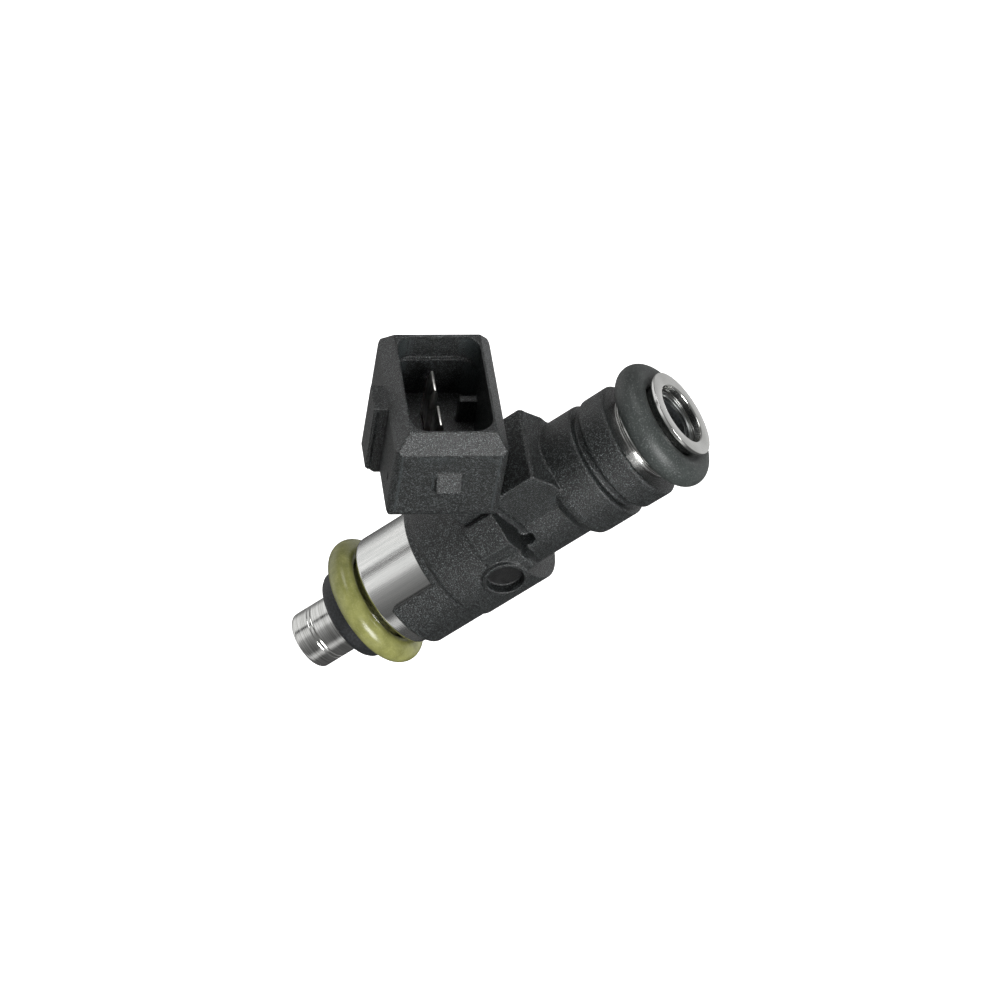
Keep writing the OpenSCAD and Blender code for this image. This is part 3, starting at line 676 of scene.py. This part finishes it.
def terminals(material):
    # stamped blades with their coined tips, edges broken by the stamping tool
    for node, name in (("terminal_left", "terminalLeft"), ("terminal_right", "terminalRight")):
        piece = meshCopy(node, name)
        pick(piece)
        bpy.ops.object.mode_set(mode="EDIT")
        bpy.ops.mesh.select_all(action="SELECT")
        bpy.ops.mesh.dissolve_limited(angle_limit=math.radians(2))
        bpy.ops.object.mode_set(mode="OBJECT")
        roundEdges(piece, 0.07, 2)
        smoothByAngle(piece)
        handOver(piece, "injector", [node], material)


moulding = {
    "voxel": 0.105,       # mm, under the smallest rounding on the moulding
    "softening": 3,       # passes that round every edge like a mould's own radii
    "triangles": 190000,
}


def mouldedBody(material):
    piece = meshCopy("moulded_body", "mouldedBody")
    addModifier(piece, "REMESH", mode="VOXEL", voxel_size=mm(moulding["voxel"]), adaptivity=0)
    addModifier(piece, "SMOOTH", factor=0.5, iterations=moulding["softening"])
    faces = sum(len(f.vertices) - 2 for f in piece.data.polygons)
    addModifier(piece, "DECIMATE", ratio=min(1, moulding["triangles"] / faces))
    smoothByAngle(piece, 60)
    print("moulded body:", faces, "triangles before thinning")
    handOver(piece, "injector", ["moulded_body"], material)


studio = {
    "floorSize": 6.0,     # metres
    "floorColour": "#f6f6f5",
    "overhead": 0.28,     # brightness of the ceiling
    "walls": [(0.00, 0.25), (0.25, 0.14), (0.50, 0.22), (0.70, 0.25), (0.86, 0.95), (0.94, 0.60),
              (1.00, 0.30)],
    # soft boxes: place from the injector's middle and size in metres, then watts
    "lamps": [("keyBox", (0.47, -0.03, 0.17), 0.26, 3.2), ("topBox", (-0.15, -0.35, 0.35), 0.25, 0.8)],
    # what stands round the table, by turn from -X over -Y and +X: brightness above and below the edge
    "around": [(0.00, 0.40), (0.06, 1.05), (0.20, 1.10), (0.212, 0.08), (0.228, 0.08), (0.245, 0.95),
               (0.30, 1.05), (0.34, 0.40), (0.42, 0.20), (0.50, 0.12), (0.55, 0.90), (0.60, 0.12),
               (0.72, 0.12), (0.86, 0.08), (1.00, 0.35)],
}


def studioAir():
    # a plain white room as light: bright ceiling, pale walls, and darker stands low round the table
    world = bpy.data.worlds.new("studioAir")
    bpy.context.scene.world = world
    world.use_nodes = True
    tree = world.node_tree
    backdrop = tree.nodes["Background"]
    place = add(tree, "ShaderNodeTexCoord")
    axes = add(tree, "ShaderNodeSeparateXYZ", links={"Vector": place.outputs["Generated"]})
    turn = add(tree, "ShaderNodeMath", {"operation": "ARCTAN2"}, {0: axes.outputs["Y"], 1: axes.outputs["X"]})
    share = add(tree, "ShaderNodeMapRange", {"From Min": -math.pi, "From Max": math.pi},
                {"Value": turn.outputs["Value"]})
    near = add(tree, "ShaderNodeValToRGB",
               {"stops": [(at, grey(value)) for at, value in studio["around"]]},
               {"Fac": share.outputs["Result"]})
    height = add(tree, "ShaderNodeMapRange", {"From Min": -0.15, "From Max": 0.15},
                 {"Value": axes.outputs["Z"]})
    walls = add(tree, "ShaderNodeValToRGB",
                {"stops": [(at, grey(value)) for at, value in studio["walls"]]},
                {"Fac": share.outputs["Result"]})
    wall = add(tree, "ShaderNodeMixRGB",
               links={"Fac": height.outputs["Result"], "Color1": near.outputs["Color"],
                      "Color2": walls.outputs["Color"]})
    above = add(tree, "ShaderNodeMapRange", {"From Min": 0.2, "From Max": 0.9}, {"Value": axes.outputs["Z"]})
    room = add(tree, "ShaderNodeMixRGB", {"Color2": grey(studio["overhead"])},
               {"Fac": above.outputs["Result"], "Color1": wall.outputs["Color"]})
    tree.links.new(room.outputs["Color"], backdrop.inputs["Color"])
    backdrop.inputs["Strength"].default_value = 1.0


def floorAndLight():
    bpy.context.scene.view_settings.view_transform = "Standard"
    clearSelection()
    bpy.ops.mesh.primitive_grid_add(x_subdivisions=4, y_subdivisions=4, size=studio["floorSize"],
                                    location=(0, 0, cadBox[0][2] - 0.0002))
    floor = bpy.context.object
    floor.name = "studioFloor"
    applyPlace(floor)
    # lit from below like a light table, so that it stays white under the injector
    material, tree, surface, place = newMaterial("whiteLightTable", Roughness=0.9, Emission_Strength=1.0)
    surface.inputs["Base Color"].default_value = sRgb(studio["floorColour"])
    surface.inputs["Emission Color"].default_value = sRgb("#ffffff")
    floor.data.materials.append(material)
    floor.visible_diffuse = False
    floor.visible_glossy = False
    studioAir()
    centre = (Vector(cadBox[0]) + Vector(cadBox[1])) / 2
    for name, place, size, power in studio["lamps"]:
        bpy.ops.object.light_add(type="AREA", location=centre + Vector(place))
        lamp = bpy.context.object
        lamp.name = name
        lamp.data.size = size
        lamp.data.energy = power
        lamp.rotation_euler = (-Vector(place)).to_track_quat("-Z", "Y").to_euler()


makeCamera()
floorAndLight()
print("camera, floor and light placed")

nylonSkin = glassFilledNylon()
housingSteel = drawnStainless()
latheSteel = turnedStainless()
hardSteel = groundSteel("hardenedSteel", "#c9cac8", "#8f9190", 0.18)
magnetIron = groundSteel("ferriticSteel", "#9c9d9c", "#6c6e6e", 0.32)
ringSteel = groundSteel("weldedStainless", "#b9b4a5", "#86806f", 0.3)
springWire = groundSteel("springWire", "#8d8f90", "#55585a", 0.28)
brass = rolledBrass()
collarSteel = groundSteel("pressedSteel", "#8f9190", "#4c4e4e", 0.36)
tin = tinnedBronze()
copper = enamelledCopper()
spoolPlastic = mouldedPlastic("glassFilledSpool", "#2a241c", "#4a4136", 0.55, 0.25)
retainerPlastic = mouldedPlastic("acetalRetainer", "#0a0b0c", "#24272a", 0.5, 0.2)
filterPlastic = mouldedPlastic("filterNylon", "#1c1e1e", "#34383a", 0.45, 0.3)
cloth = filterCloth()
greyRubber = rubber("nitrileRubber", "#2c302f", "#373c3a", 0.5, "#767b79", 0.7)
oliveRubber = rubber("fluorocarbonRubber", "#757642", "#95965a", 0.26, "#b4b480", 0.35)
print("materials made")

sealRing("upperSealRing", "upper_seal_ring", greyRubber)
sealRing("lowerSealRing", "lower_seal_ring", oliveRubber)
print("seal rings made")
nozzle(latheSteel)
housing(housingSteel)
retainer(retainerPlastic)
inletTube(latheSteel)
filterCollar(collarSteel)
print("turned pieces made")
terminals(tin)
mouldedBody(nylonSkin)
print("moulded body and terminals made")

# CAD nodes that keep their own shape
innerFinish = {
    "valve_seat": hardSteel, "spray_plate": hardSteel, "valve_ball": hardSteel, "needle_tube": latheSteel,
    "armature": magnetIron, "pole_piece": magnetIron, "flux_washer": magnetIron,
    "return_spring": springWire, "adjusting_sleeve": brass, "non_magnetic_ring": ringSteel,
    "coil_spool": spoolPlastic, "coil_winding": copper, "filter_frame": filterPlastic, "filter_mesh": cloth,
}
for node, material in innerFinish.items():
    inner = frame["nodes"][node]
    inner.data.materials.clear()
    inner.data.materials.append(material)
print("inner nodes finished")

bpy.context.view_layer.update()
